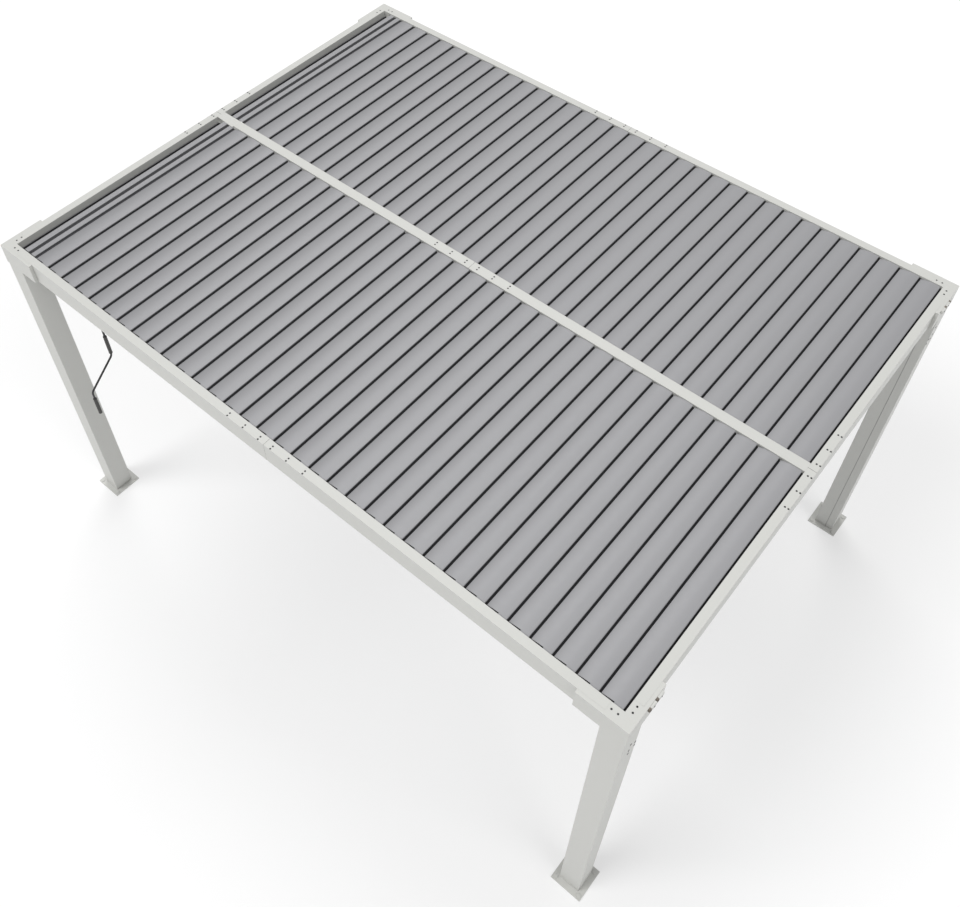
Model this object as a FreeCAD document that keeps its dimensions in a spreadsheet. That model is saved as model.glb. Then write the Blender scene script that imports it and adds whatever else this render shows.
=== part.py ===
import FreeCAD, Part
import math
import os
import Sketcher

# Free-standing aluminium pergola, 3 m by 4 m, with a roof of turning louvres.
# X runs along the long side, Y along the short side, Z is up.
# The origin is the centre of the footprint on the floor. All sizes are in millimetres.
# Louvres lie along Y in two bays, front and back of a centre beam, and turn about Y.

V = FreeCAD.Vector
doc = FreeCAD.newDocument("pergola")
sheet = doc.addObject("Spreadsheet::Sheet", "dim")
ROWS = []


class Size:
    """A length that knows its number and the expression that gives it."""

    def __init__(self, number, text):
        self.number = float(number)
        self.text = text

    def join(self, other, sign, flip=False):
        if not isinstance(other, Size):
            other = Size(other, repr(float(other)))
        first, second = (other, self) if flip else (self, other)
        a, b = first.number, second.number
        result = {"+": a + b, "-": a - b, "*": a * b}.get(sign)
        if sign == "/":
            result = a / b
        return Size(result, "(" + first.text + " " + sign + " " + second.text + ")")

    def __add__(self, other):
        return self.join(other, "+")

    def __radd__(self, other):
        return self.join(other, "+", True)

    def __sub__(self, other):
        return self.join(other, "-")

    def __rsub__(self, other):
        return self.join(other, "-", True)

    def __mul__(self, other):
        return self.join(other, "*")

    def __rmul__(self, other):
        return self.join(other, "*", True)

    def __truediv__(self, other):
        return self.join(other, "/")

    def __neg__(self):
        return self.join(-1.0, "*")


def root(value):
    return Size(value.number ** 0.5, "sqrt(" + value.text + ")")


def size(alias, number):
    """Write one driving dimension into the sheet."""
    ROWS.append(alias)
    sheet.set("A%d" % len(ROWS), alias)
    sheet.set("B%d" % len(ROWS), repr(float(number)))
    sheet.setAlias("B%d" % len(ROWS), alias)
    return Size(number, "dim." + alias)


# Overall sizes
length = size("frame_length", 4020)
width = size("frame_width", 3000)
height = size("frame_height", 2295)
# Posts and feet
post = size("post_side", 120)
post_wall = size("post_wall", 3)
groove_at = size("groove_from_corner", 44)
groove_wide = size("groove_width", 4)
groove_deep = size("groove_depth", 1.6)
plate = size("foot_side", 190)
plate_thick = size("foot_thickness", 8)
anchor_span = size("anchor_spacing", 152)
anchor_bore = size("anchor_bore", 12)
# Beams
beam_deep = size("beam_depth", 125)
beam_wide = size("beam_width", 44)
beam_wall = size("beam_wall", 2.5)
setback = size("beam_setback", 14)
slot_deep = size("bearing_slot_depth", 8)
slot_high = size("bearing_slot_height", 13)
slot_into = size("bearing_slot_into_corner", 20)
seam = size("splice_seam", 1)
# Corner fittings
proud = size("corner_proud", 4)
leg = size("corner_leg", 250)
corner_wall = size("corner_wall", 4)
cap_thick = size("corner_cap", 6)
# Centre beam
centre_wide = size("centre_width", 57)
centre_web = size("centre_web_width", 20)
centre_deep = size("centre_depth", 85)
flange = size("centre_flange", 4)
lip_drop = size("centre_lip_drop", 10)
rail_proud = size("bearing_rail_proud", 3)
rail_thick = size("bearing_rail_thickness", 3)
# Louvres
pitch = size("louvre_pitch", 113.6)
first_gap = size("first_gap_from_end", 208.5)
gap = size("louvre_gap", 11)
crest = size("louvre_height", 23)
base_drop = size("louvre_base_below_top", 27)
blade_wall = size("louvre_wall", 1.6)
lead_high = size("louvre_lead_height", 12)
crest_back = size("crest_from_right_edge", 38)
nose_from = size("louvre_nose_height", 17)
nose_cut = size("louvre_nose_cut", 7)
edge_cut = size("louvre_edge_cut", 3)
edge_rise = size("louvre_edge_rise", 4)
end_plate = size("louvre_end_plate", 3)
end_gap = size("louvre_end_gap", 6)
lip = size("louvre_lip", 14)
lip_gap = size("louvre_lip_clearance", 5)
lip_thick = size("louvre_lip_thickness", 2)
lip_root = size("louvre_lip_root", 8)
ramp_end = size("louvre_ramp_end", 14)
pin = size("pivot_across_flats", 10)
web_fit = size("pivot_from_web", 0.5)
pivot_rise = size("pivot_above_base", 8)
pin_reach = size("pivot_into_slot", 6)
arm_back = size("lever_back", 34.6)
arm_down = size("lever_down", 20)
arm_thick = size("drive_arm_thickness", 4)
lug_root = size("lug_root_half_width", 9)
lug_tip = size("lug_tip_half_width", 5.5)
lug_past = size("lug_past_hole", 7)
link_pin = size("link_pin_radius", 3)
link_fit = size("link_pin_clearance", 0.4)
link_past = size("link_pin_past_lug", 1)
# Drive
drive_number = 3
drive_back = size("drive_lever_back", 34)
drive_down = size("drive_lever_down", 34)
crank_x = size("crank_from_left_end", 430)
worm_offset = size("worm_to_wheel", 33.5)
crank_y = size("crank_from_front", 170)
box_high = size("gearbox_height", 66)
box_wide = size("gearbox_width", 52)
box_ahead = size("gearbox_before_crank", 24)
box_long = size("gearbox_length", 108)
box_plate = size("gearbox_plate", 6)
plate_inset = size("gearbox_plate_from_beam_face", 6)
wheel_drop = size("wheel_below_plate", 33)
shaft = size("wheel_shaft_radius", 6)
shaft_fit = size("shaft_clearance", 0.3)
shaft_long = size("shaft_into_gearbox", 14)
bore_spare = size("bore_past_shaft", 2)
link_thick = size("link_thickness", 4)
link_wide = size("link_width", 12)
link_reach = size("link_pin_past_lever", 1)
lever_hub = size("gear_lever_hub", 9)
lever_eye = size("gear_lever_eye", 6)
arm_clear = size("lever_from_gearbox", 5)
rod = size("crank_rod_radius", 6)
grip = size("crank_grip_radius", 13.5)
socket = size("crank_socket_radius", 11)
socket_long = size("crank_socket_length", 42)
upper_from = size("upper_grip_from", 386)
upper_to = size("upper_grip_to", 533)
throw_from = size("throw_from", 552)
throw_to = size("throw_to", 719)
throw = size("crank_throw", 189)
lower_from = size("lower_grip_from", 774)
lower_to = size("lower_grip_to", 913)


def bind(thing, prop, value):
    """Give one property its number, driven by the sheet."""
    if isinstance(value, Size):
        thing.setExpression(prop, value.text)
    else:
        setattr(thing, prop, value)


def place(thing, x, y, z):
    """Put a piece at its place in the frame."""
    number = [v.number if isinstance(v, Size) else float(v) for v in (x, y, z)]
    thing.Placement = FreeCAD.Placement(V(*number), FreeCAD.Rotation())
    for axis, value in (("x", x), ("y", y), ("z", z)):
        if isinstance(value, Size):
            thing.setExpression(".Placement.Base." + axis, value.text)


def body(label, x=0.0, y=0.0, z=0.0):
    made = doc.addObject("PartDesign::Body", label)
    made.Label = label
    made.AllowCompound = True
    place(made, x, y, z)
    return made


def copy_of(source, label, x, y, z):
    """One more of the same piece at its own place."""
    made = doc.addObject("App::Link", label)
    made.Label = label
    made.LinkedObject = source
    made.LinkTransform = False
    place(made, x, y, z)
    return made


def plane_of(owner, role):
    for item in owner.Origin.OriginFeatures:
        if item.Role == role:
            return item
    return None


def sketch(owner, role, shift=None):
    """A sketch on one of the body's own origin planes, moved along its normal by shift."""
    made = owner.newObject("Sketcher::SketchObject", owner.Name + "_sketch")
    made.AttachmentSupport = [(plane_of(owner, role), "")]
    made.MapMode = "FlatFace"
    if shift is not None:
        moved = FreeCAD.Placement(V(0, 0, shift.number), FreeCAD.Rotation())
        made.AttachmentOffset = moved
        made.setExpression(".AttachmentOffset.Base.z", shift.text)
    return made


def as_size(value):
    return value if isinstance(value, Size) else Size(value, repr(float(value)))


def fix(made, constraint, value):
    """Add a dimension to a sketch and drive it from the sheet."""
    index = made.addConstraint(constraint)
    made.setExpression("Constraints[%d]" % index, value.text)


def outline(made, points):
    """A closed outline. A point is (x, y), or (x, y, radius, side) for an arc to the next one."""
    points = [tuple(as_size(v) for v in p[:2]) + tuple(p[2:]) for p in points]
    flat = [V(p[0].number, p[1].number, 0) for p in points]
    first = made.GeometryCount
    for i, point in enumerate(points):
        a, b = flat[i], flat[(i + 1) % len(flat)]
        if len(point) == 2:
            made.addGeometry(Part.LineSegment(a, b), False)
            continue
        radius, side = as_size(point[2]), point[3]
        chord = b - a
        middle = (a + b) * 0.5
        normal = V(-chord.y, chord.x, 0).normalize() * side
        rise = radius.number - (radius.number ** 2 - chord.Length ** 2 / 4) ** 0.5
        arc = Part.Arc(a, middle + normal * rise, b)
        made.addGeometry(arc, False)
    ends = []
    for i, point in enumerate(points):
        item = made.Geometry[first + i]
        near = (item.StartPoint - flat[i]).Length < (item.EndPoint - flat[i]).Length
        ends.append((1, 2) if near else (2, 1))
    count = len(points)
    for i in range(count):
        j = (i + 1) % count
        made.addConstraint(
            Sketcher.Constraint("Coincident", first + i, ends[i][1], first + j, ends[j][0])
        )
    for i, point in enumerate(points):
        here = (first + i, ends[i][0])
        x, y = point[0], point[1]
        fix(made, Sketcher.Constraint("DistanceX", -1, 1, here[0], here[1], x.number), x)
        fix(made, Sketcher.Constraint("DistanceY", -1, 1, here[0], here[1], y.number), y)
        if len(point) > 2:
            radius = as_size(point[2])
            fix(made, Sketcher.Constraint("Radius", first + i, radius.number), radius)


def ring(made, x, y, radius):
    """A circle with its centre and radius driven by the sheet."""
    x, y, radius = as_size(x), as_size(y), as_size(radius)
    made.addGeometry(Part.Circle(V(x.number, y.number, 0), V(0, 0, 1), radius.number), False)
    item = made.GeometryCount - 1
    fix(made, Sketcher.Constraint("DistanceX", -1, 1, item, 3, x.number), x)
    fix(made, Sketcher.Constraint("DistanceY", -1, 1, item, 3, y.number), y)
    fix(made, Sketcher.Constraint("Radius", item, radius.number), radius)


def hexagon(made, x, y, across):
    """Six sides with a corner up, as wide across its flats as given."""
    reach = as_size(across) / math.sqrt(3)
    turns = [math.radians(30 + 60 * k) for k in range(6)]
    outline(made, [(x + reach * math.cos(a), y + reach * math.sin(a)) for a in turns])


def box(made, x0, y0, x1, y1):
    outline(made, [(x0, y0), (x1, y0), (x1, y1), (x0, y1)])


def pad(owner, made, depth, back=False):
    feature = owner.newObject("PartDesign::Pad", owner.Name + "_pad")
    feature.Profile = made
    feature.Reversed = back
    bind(feature, "Length", as_size(depth))
    made.Visibility = False
    return feature


def cut(owner, made, depth, back=False):
    feature = owner.newObject("PartDesign::Pocket", owner.Name + "_cut")
    feature.Profile = made
    feature.Reversed = back
    bind(feature, "Length", as_size(depth))
    made.Visibility = False
    return feature


def row_of(owner, feature, span, count):
    """Repeat a feature along X, so that the copies spread over the span."""
    made = owner.newObject("PartDesign::LinearPattern", owner.Name + "_row")
    made.Originals = [feature]
    made.Direction = (plane_of(owner, "X_Axis"), [""])
    bind(made, "Length", span)
    made.Occurrences = count
    owner.Tip = made
    return made


pieces = []


def keep(made):
    pieces.append(made)
    return made


CORNERS = {
    "front_left": (-1, -1),
    "front_right": (1, -1),
    "back_right": (1, 1),
    "back_left": (-1, 1),
}
half_x = length / 2
half_y = width / 2
under = height - beam_deep
inner = setback + beam_wide
pivot_z = height - base_drop + pivot_rise
z_slot = pivot_z - under - slot_high / 2
louvre_count = int((length.number - first_gap.number - inner.number) / pitch.number)

# Posts: square tubes with a cover groove on the face that looks along the short side.
for name, (sx, sy) in CORNERS.items():
    made = keep(body("post_" + name, half_x * sx, half_y * sy, plate_thick))
    plan = sketch(made, "XY_Plane")
    g0 = groove_at
    g1 = groove_at + groove_wide
    corner = [
        (0, 0), (post, 0), (post, post), (g1, post),
        (g1, post - groove_deep), (g0, post - groove_deep), (g0, post), (0, post),
    ]
    outline(plan, [(as_size(u) * -sx, as_size(v) * -sy) for u, v in corner])
    a, b = post_wall, post - post_wall
    hollow = [(a, a), (b, a), (b, b), (a, b)]
    outline(plan, [(u * -sx, v * -sy) for u, v in hollow])
    pad(made, plan, under - cap_thick - plate_thick)

# Feet: square base plates, each with four anchor holes near its corners.
made = keep(body("post_feet"))
plan = sketch(made, "XY_Plane")
for sx, sy in CORNERS.values():
    cx = (half_x - post / 2) * sx
    cy = (half_y - post / 2) * sy
    box(plan, cx - plate / 2, cy - plate / 2, cx + plate / 2, cy + plate / 2)
    for dx in (-1, 1):
        for dy in (-1, 1):
            ring(plan, cx + anchor_span / 2 * dx, cy + anchor_span / 2 * dy, anchor_bore / 2)
pad(made, plan, plate_thick)

# Corner fittings: hollow blocks over the posts with legs that lap the beams' outer faces.
for name, (sx, sy) in CORNERS.items():
    made = keep(body("corner_" + name, half_x * sx, half_y * sy, under))

    def turned(points, sx=sx, sy=sy):
        return [(as_size(u) * -sx, as_size(v) * -sy) for u, v in points]

    plan = sketch(made, "XY_Plane")
    outer = [
        (-proud, -proud), (leg, -proud), (leg, setback), (post, setback),
        (post, inner), (inner, inner), (inner, post), (setback, post),
        (setback, leg), (-proud, leg),
    ]
    outline(plan, turned(outer))
    pad(made, plan, beam_deep)
    room = sketch(made, "XY_Plane")
    a, b = setback, inner - corner_wall
    c = post - corner_wall
    outline(room, turned([(a, a), (c, a), (c, b), (b, b), (b, c), (a, c)]))
    cut(made, room, beam_deep - corner_wall, True)
    hollow_leg = sketch(made, "XY_Plane", corner_wall)
    a, b, c = corner_wall - proud, setback - corner_wall, leg - corner_wall
    outline(hollow_leg, turned([(a, a), (c, a), (c, b), (b, b), (b, c), (a, c)]))
    cut(made, hollow_leg, beam_deep - corner_wall * 2, True)
    slot = sketch(made, "XY_Plane", z_slot)
    a, b, c = post - slot_into, post, inner - slot_deep
    outline(slot, turned([(a, c), (b, c), (b, inner), (a, inner)]))
    cut(made, slot, slot_high, True)
    seat = sketch(made, "XY_Plane")
    outline(seat, turned([(0, 0), (post, 0), (post, post), (0, post)]))
    pad(made, seat, cap_thick, True)

# Long beams, front and back, in two halves each: hollow, with a bearing slot inside.
for side, sy in (("front", -1), ("back", 1)):
    for end, sx in (("left", -1), ("right", 1)):
        made = keep(body("beam_%s_%s" % (side, end), 0.0, half_y * sy, under))
        start = sketch(made, "YZ_Plane", (seam / 2) * sx)
        s1, s2 = z_slot, z_slot + slot_high
        skin = [
            (setback, 0), (inner, 0), (inner, s1), (inner - slot_deep, s1),
            (inner - slot_deep, s2), (inner, s2), (inner, beam_deep), (setback, beam_deep),
        ]
        w = beam_wall
        core = [
            (setback + w, w), (inner - w, w), (inner - w, s1 - w),
            (inner - slot_deep - w, s1 - w), (inner - slot_deep - w, s2 + w),
            (inner - w, s2 + w), (inner - w, beam_deep - w), (setback + w, beam_deep - w),
        ]
        outline(start, [(as_size(v) * -sy, z) for v, z in skin])
        outline(start, [(as_size(v) * -sy, z) for v, z in core])
        pad(made, start, half_x - post - seam / 2, sx < 0)

# Short beams, left and right, in two halves each.
for side, sx in (("left", -1), ("right", 1)):
    for end, sy in (("front", -1), ("back", 1)):
        made = keep(body("beam_%s_%s" % (side, end), half_x * sx, 0.0, under))
        start = sketch(made, "XZ_Plane", (seam / 2) * -sy)
        w = beam_wall
        skin = [(setback, 0), (inner, 0), (inner, beam_deep), (setback, beam_deep)]
        core = [
            (setback + w, w), (inner - w, w),
            (inner - w, beam_deep - w), (setback + w, beam_deep - w),
        ]
        outline(start, [(as_size(u) * -sx, z) for u, z in skin])
        outline(start, [(as_size(u) * -sx, z) for u, z in core])
        pad(made, start, half_y - post - seam / 2, sy > 0)

# Centre beam in two halves: a hollow web under a wide flange with turned-down lips.
for end, sx in (("left", -1), ("right", 1)):
    made = keep(body("beam_centre_" + end, 0.0, 0.0, height))
    start = sketch(made, "YZ_Plane", (seam / 2) * sx)
    hw, hf = centre_web / 2, centre_wide / 2
    zp = pivot_rise - base_drop
    r_in, r_out = slot_high / 2, slot_high / 2 + rail_thick
    rp = hw + rail_proud
    right = [
        (hw, -centre_deep), (hw, zp - r_out), (rp, zp - r_out), (rp, zp - r_in),
        (hw, zp - r_in), (hw, zp + r_in), (rp, zp + r_in), (rp, zp + r_out),
        (hw, zp + r_out), (hw, -flange), (hf - flange, -flange), (hf - flange, -lip_drop),
        (hf, -lip_drop), (hf, 0),
    ]
    left = [(-as_size(p[0]), p[1]) for p in reversed(right)]
    outline(start, right + left)
    w = beam_wall
    box(start, -hw + w, -centre_deep + w, hw - w, -flange)
    pad(made, start, half_x - inner - seam / 2, sx < 0)

# Splice joiners: box tubes inside the beams across each mid-span seam.
made = keep(body("splice_joiners"))
jl = size("joiner_half_length", 280)
jw = size("joiner_wall", 3)
w = beam_wall
for sy in (-1, 1):
    face = sketch(made, "YZ_Plane", -jl)
    y0 = (half_y - setback - w) * sy
    y1 = (half_y - inner + slot_deep + w) * sy
    z0, z1 = under + w, height - w
    box(face, y0, z0, y1, z1)
    box(face, y0 - jw * sy, z0 + jw, y1 + jw * sy, z1 - jw)
    pad(made, face, jl * 2)
for sx in (-1, 1):
    face = sketch(made, "XZ_Plane", -jl)
    x0 = (half_x - setback - w) * sx
    x1 = (half_x - inner + w) * sx
    z0, z1 = under + w, height - w
    box(face, x0, z0, x1, z1)
    box(face, x0 - jw * sx, z0 + jw, x1 + jw * sx, z1 - jw)
    pad(made, face, jl * 2, False)
face = sketch(made, "YZ_Plane", -jl)
y0 = centre_web / 2 - w
box(face, -y0, height - centre_deep + w, y0, height - flange)
box(face, -y0 + jw, height - centre_deep + w + jw, y0 - jw, height - flange - jw)
pad(made, face, jl * 2)

# End fillers: fixed ribbed strips beside the left beam, one in each bay.
made = keep(body("end_fillers", -half_x, 0.0, height - base_drop))
fill_from = size("filler_from_end", 118)
fill_rib = size("filler_rib", 32)
fill_low = size("filler_below_base", 14)
fill_groove = size("filler_groove_depth", 15)
fill_between = size("filler_groove_width", 23)
fill_edge = size("filler_edge_drop", 5)
fill_wall = size("filler_wall", 2)
for sy in (-1, 1):
    if sy < 0:
        start_y = half_y - inner - end_gap
        span = start_y - centre_wide / 2 - end_gap
        face = sketch(made, "XZ_Plane", start_y)
    else:
        start_y = centre_wide / 2 + end_gap
        span = half_y - inner - end_gap - start_y
        face = sketch(made, "XZ_Plane", -start_y)
    t = fill_wall
    a, b = fill_from, fill_from + fill_rib
    c, e = b + fill_between, first_gap - gap / 2
    up, floor = crest, crest - fill_groove
    outline(face, [
        (inner, -fill_low + t), (a, -fill_low + t), (a, up), (b, up), (b, floor), (c, floor),
        (c, up), (e, up), (e, up - fill_edge), (e - t, up - fill_edge), (e - t, up - t),
        (c + t, up - t), (c + t, floor - t), (b - t, floor - t), (b - t, up - t),
        (a + t, up - t), (a + t, -fill_low), (inner, -fill_low),
    ])
    pad(made, face, span, True)

# The gearbox stands under the front beam, near one louvre's pivot.
crank_at = crank_x - half_x
wheel_x = crank_at + worm_offset
crank_line = crank_y - half_y
box_back = crank_line + box_wide / 2
drive_y = box_back + arm_clear
wheel_z = under - box_plate - wheel_drop

# Louvres: one per pivot line, a blade in each bay, with end plates, pins and levers.
inner_end = centre_wide / 2 + end_gap
outer_end = half_y - inner - end_gap
blade_span = outer_end - inner_end
blade = pitch - gap
left, right = -blade / 2, blade / 2
base = -pivot_rise
top = base + crest
crest_x = right - crest_back
shoulder = top - (crest - nose_from) / 4
crown_run = blade - crest_back
crown_rise = crest - lead_high
crown = (crown_rise * crown_rise + crown_run * crown_run) / (crown_rise * 2)
lip_top = base - lip_gap
lip_low = lip_top - lip_thick


def louvre_skin():
    """The blade's outside: a crown that is level at its crest, a blunt nose and a rain lip."""
    return [
        (left - lip, lip_low), (left + lip_root, lip_low), (left + ramp_end, base),
        (right - edge_cut, base), (right, base + edge_rise), (right, base + nose_from),
        (right - nose_cut, shoulder), (crest_x, top, crown, -1),
        (left, base + lead_high), (left, lip_top), (left - lip, lip_top),
    ]


def louvre_core(w):
    """The blade's inside, w within its skin."""
    run = crown_run - w
    lead = top - crown + root((crown - w) * (crown - w) - run * run)
    return [
        (left + w, lip_low + w), (left + lip_root - w / 2, lip_low + w),
        (left + ramp_end - w / 2, base + w), (right - edge_cut - w / 2, base + w),
        (right - w, base + edge_rise + w / 3), (right - w, base + nose_from - w / 3),
        (right - nose_cut - w / 3, shoulder - w),
        (crest_x, top - w, crown - w, -1), (left + w, lead),
    ]


def lug(made, y, thick, back, down):
    """An eye under the blade: the hole lies back from the pivot and down from it."""
    face = sketch(made, "XZ_Plane", -y)
    ax, az, root_z = -back, -down, base + blade_wall / 2
    outline(face, [
        (ax - lug_root, root_z), (ax - lug_tip, az - lug_past),
        (ax + lug_tip, az - lug_past), (ax + lug_root, root_z),
    ])
    hexagon(face, ax, az, (link_pin + link_fit) * 2)
    pad(made, face, thick, True)


def louvre(label, x):
    """Two hollow blades on one pivot line, with end plates, six-sided pins and eyes."""
    made = body(label, x, 0.0, pivot_z)
    for sy in (-1, 1):
        section = sketch(made, "XZ_Plane", outer_end if sy < 0 else -inner_end)
        outline(section, louvre_skin())
        outline(section, louvre_core(blade_wall))
        pad(made, section, blade_span, True)
        for near, reach, inward in (
            (outer_end, end_gap + pin_reach, sy < 0),
            (inner_end, inner_end - centre_web / 2 - web_fit, sy > 0),
        ):
            plate_face = sketch(made, "XZ_Plane", near * -sy)
            outline(plate_face, louvre_core(blade_wall / 2))
            pad(made, plate_face, end_plate, inward)
            stub = sketch(made, "XZ_Plane", near * -sy)
            hexagon(stub, 0.0, 0.0, pin)
            pad(made, stub, reach, not inward)
        lug(made, inner_end if sy > 0 else -inner_end - end_plate, end_plate, arm_back, arm_down)
    return made


def pivot_x(number):
    return first_gap + gap / 2 + pitch * (number - 1) + blade / 2 - half_x


plain = louvre("louvre_01", pivot_x(1))
driven = louvre("louvre_%02d" % drive_number, pivot_x(drive_number))
lug(driven, drive_y, arm_thick, drive_back, drive_down)
for number in range(1, louvre_count + 1):
    if number == 1:
        keep(plain)
    elif number == drive_number:
        keep(driven)
    else:
        keep(copy_of(plain, "louvre_%02d" % number, pivot_x(number), 0.0, pivot_z))

# Tie bars beside the centre web, one in each bay, with a pin for every lever, joined by a
# saddle that passes under the beam.
made = keep(body("tie_bars"))
bar_in = size("tie_bar_from_centre", 18)
bar_high = size("tie_bar_height", 14)
bar_thick = size("tie_bar_thickness", 3)
bar_past = size("tie_bar_past_pin", 12)
saddle_half = size("saddle_half_width", 18)
saddle_drop = size("saddle_below_beam", 12)
saddle_thick = size("saddle_thickness", 4)
first_x = pivot_x(1)
last_x = pivot_x(louvre_count)
for sy in (-1, 1):
    y_in = bar_in
    face = sketch(made, "XZ_Plane", y_in * -sy)
    x0 = first_x - arm_back - bar_past
    x1 = last_x - arm_back + bar_past
    zc = pivot_z - arm_down
    box(face, x0, zc - bar_high / 2, x1, zc + bar_high / 2)
    pad(made, face, bar_thick, sy > 0)
saddle_x = first_x + pitch * (louvre_count // 2 - 0.5)
saddle = sketch(made, "XZ_Plane", -bar_in - bar_thick)
drop = height - centre_deep - saddle_drop
box(saddle, saddle_x - saddle_half, drop, saddle_x + saddle_half, zc)
pad(made, saddle, (bar_in + bar_thick) * 2)
gapcut = sketch(made, "XZ_Plane", -bar_in)
out = saddle_half + saddle_thick
box(gapcut, saddle_x - out, drop + saddle_thick, saddle_x + out, zc + bar_high)
cut(made, gapcut, bar_in * 2, True)
for sy in (-1, 1):
    one_pin = sketch(made, "XZ_Plane", (bar_in + bar_thick) * -sy)
    hexagon(one_pin, first_x - arm_back, zc, link_pin * math.sqrt(3))
    first_pin = pad(made, one_pin, inner_end + end_plate + link_past - bar_in - bar_thick, sy > 0)
    row_of(made, first_pin, last_x - first_x, louvre_count)

# Gearbox: a housing on a plate under the front beam, with a bore for the wheel shaft.
made = keep(body("gearbox", crank_at, crank_line, under))
plan = sketch(made, "XY_Plane", -box_plate)
box(plan, -box_ahead, -box_wide / 2, box_long - box_ahead, box_wide / 2)
pad(made, plan, box_high - box_plate, True)
top = sketch(made, "XY_Plane", -box_plate)
edge = setback + plate_inset - crank_y
box(top, -box_ahead, edge, box_long - box_ahead, box_wide / 2)
pad(made, top, box_plate)
bore = sketch(made, "XZ_Plane", -box_wide / 2)
ring(bore, worm_offset, -box_plate - wheel_drop, shaft + shaft_fit)
cut(made, bore, shaft_long + bore_spare, True)
mouth = sketch(made, "XY_Plane", -box_high)
ring(mouth, 0.0, 0.0, rod + shaft_fit)
cut(made, mouth, shaft_long + bore_spare, True)

# Gear lever: the wheel shaft's arm.
made = keep(body("gear_lever", wheel_x, drive_y, wheel_z))
face = sketch(made, "XZ_Plane")
ax, az = -drive_back, -drive_down
hub, eye = lever_hub, lever_eye
outline(face, [
    (hub, -hub / 2), (hub / 3, hub), (-hub * 2 / 3, hub), (ax - eye, az + eye),
    (ax - eye, az - eye), (ax + eye, az - eye),
])
ring(face, ax, az, link_pin + link_fit)
pad(made, face, arm_thick, True)
face = sketch(made, "XZ_Plane")
ring(face, 0.0, 0.0, shaft)
pad(made, face, arm_clear + shaft_long)

# Drive link: a flat bar with a pin at each end, from the gear lever up to the louvre's lug.
# It leans, and stays parallel to the line from the wheel to the louvre's pivot.
made = keep(body("drive_link", wheel_x - drive_back, drive_y + arm_thick * 2, wheel_z - drive_down))
rise = pivot_z - wheel_z
lean = pivot_x(drive_number) - wheel_x
face = sketch(made, "XZ_Plane")
hw = link_wide / 2
near, far = hw * 0.6, hw * 0.8
outline(face, [
    (-hw, 0.0), (-near, -far), (near, -far), (hw, 0.0),
    (lean + hw, rise), (lean + near, rise + far), (lean - near, rise + far), (lean - hw, rise),
])
pad(made, face, link_thick, True)
face = sketch(made, "XZ_Plane")
ring(face, 0.0, 0.0, link_pin)
ring(face, lean, rise, link_pin)
pad(made, face, arm_thick * 2 + link_reach)

# Crank: worm shaft, socket, straight rod, sloping throw and the rod of the lower grip.
crank_gap = size("crank_below_gearbox", 1)
crank_top = under - box_high - crank_gap
made = keep(body("crank", crank_at, crank_line, crank_top))
path = sketch(made, "YZ_Plane")
spots = [(0.0, 0.0), (0.0, -throw_from), (-throw, -throw_to), (-throw, -lower_to)]
spots = [tuple(as_size(v) for v in p) for p in spots]
for i in range(3):
    a, b = (V(p[0].number, p[1].number, 0) for p in spots[i:i + 2])
    path.addGeometry(Part.LineSegment(a, b), False)
for i in range(2):
    path.addConstraint(Sketcher.Constraint("Coincident", i, 2, i + 1, 1))
for i, spot in enumerate(spots):
    item, end = (i, 1) if i < 3 else (2, 2)
    fix(path, Sketcher.Constraint("DistanceX", -1, 1, item, end, spot[0].number), spot[0])
    fix(path, Sketcher.Constraint("DistanceY", -1, 1, item, end, spot[1].number), spot[1])
round_rod = sketch(made, "XY_Plane")
ring(round_rod, 0.0, 0.0, rod)
pipe = made.newObject("PartDesign::AdditivePipe", "crank_pipe")
pipe.Profile = round_rod
pipe.Spine = path
pipe.Transition = "Right corner"
eye = sketch(made, "XY_Plane")
ring(eye, 0.0, 0.0, socket)
pad(made, eye, socket_long, True)
worm_shaft = sketch(made, "XY_Plane")
ring(worm_shaft, 0.0, 0.0, rod)
pad(made, worm_shaft, crank_gap + shaft_long)

# Crank grips: two sleeves on the rod, one each side of the throw.
made = keep(body("crank_grips", crank_at, crank_line, crank_top))
for y, z0, z1 in ((as_size(0.0), upper_from, upper_to), (-throw, lower_from, lower_to)):
    plan = sketch(made, "XY_Plane", -z0)
    ring(plan, 0.0, y, grip)
    ring(plan, 0.0, y, rod)
    pad(made, plan, z1 - z0, True)

doc.recompute()
bad = []
for item in doc.Objects:
    if "Invalid" in item.State or "Error" in item.State:
        bad.append(item.Name)
if bad:
    raise RuntimeError("failed objects: " + ", ".join(bad[:20]))
os.makedirs("parts", exist_ok=True)
for piece in pieces:
    shape = piece.Shape
    if shape.isNull() or not shape.isValid():
        raise RuntimeError("bad shape: " + piece.Label)
    shape.exportStep("parts/%s.step" % piece.Label)
    print(piece.Label, len(shape.Solids), round(shape.Volume / 1000.0, 1))
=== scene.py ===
import bmesh
import bpy
import math
from mathutils import Euler, Matrix, Vector


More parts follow.
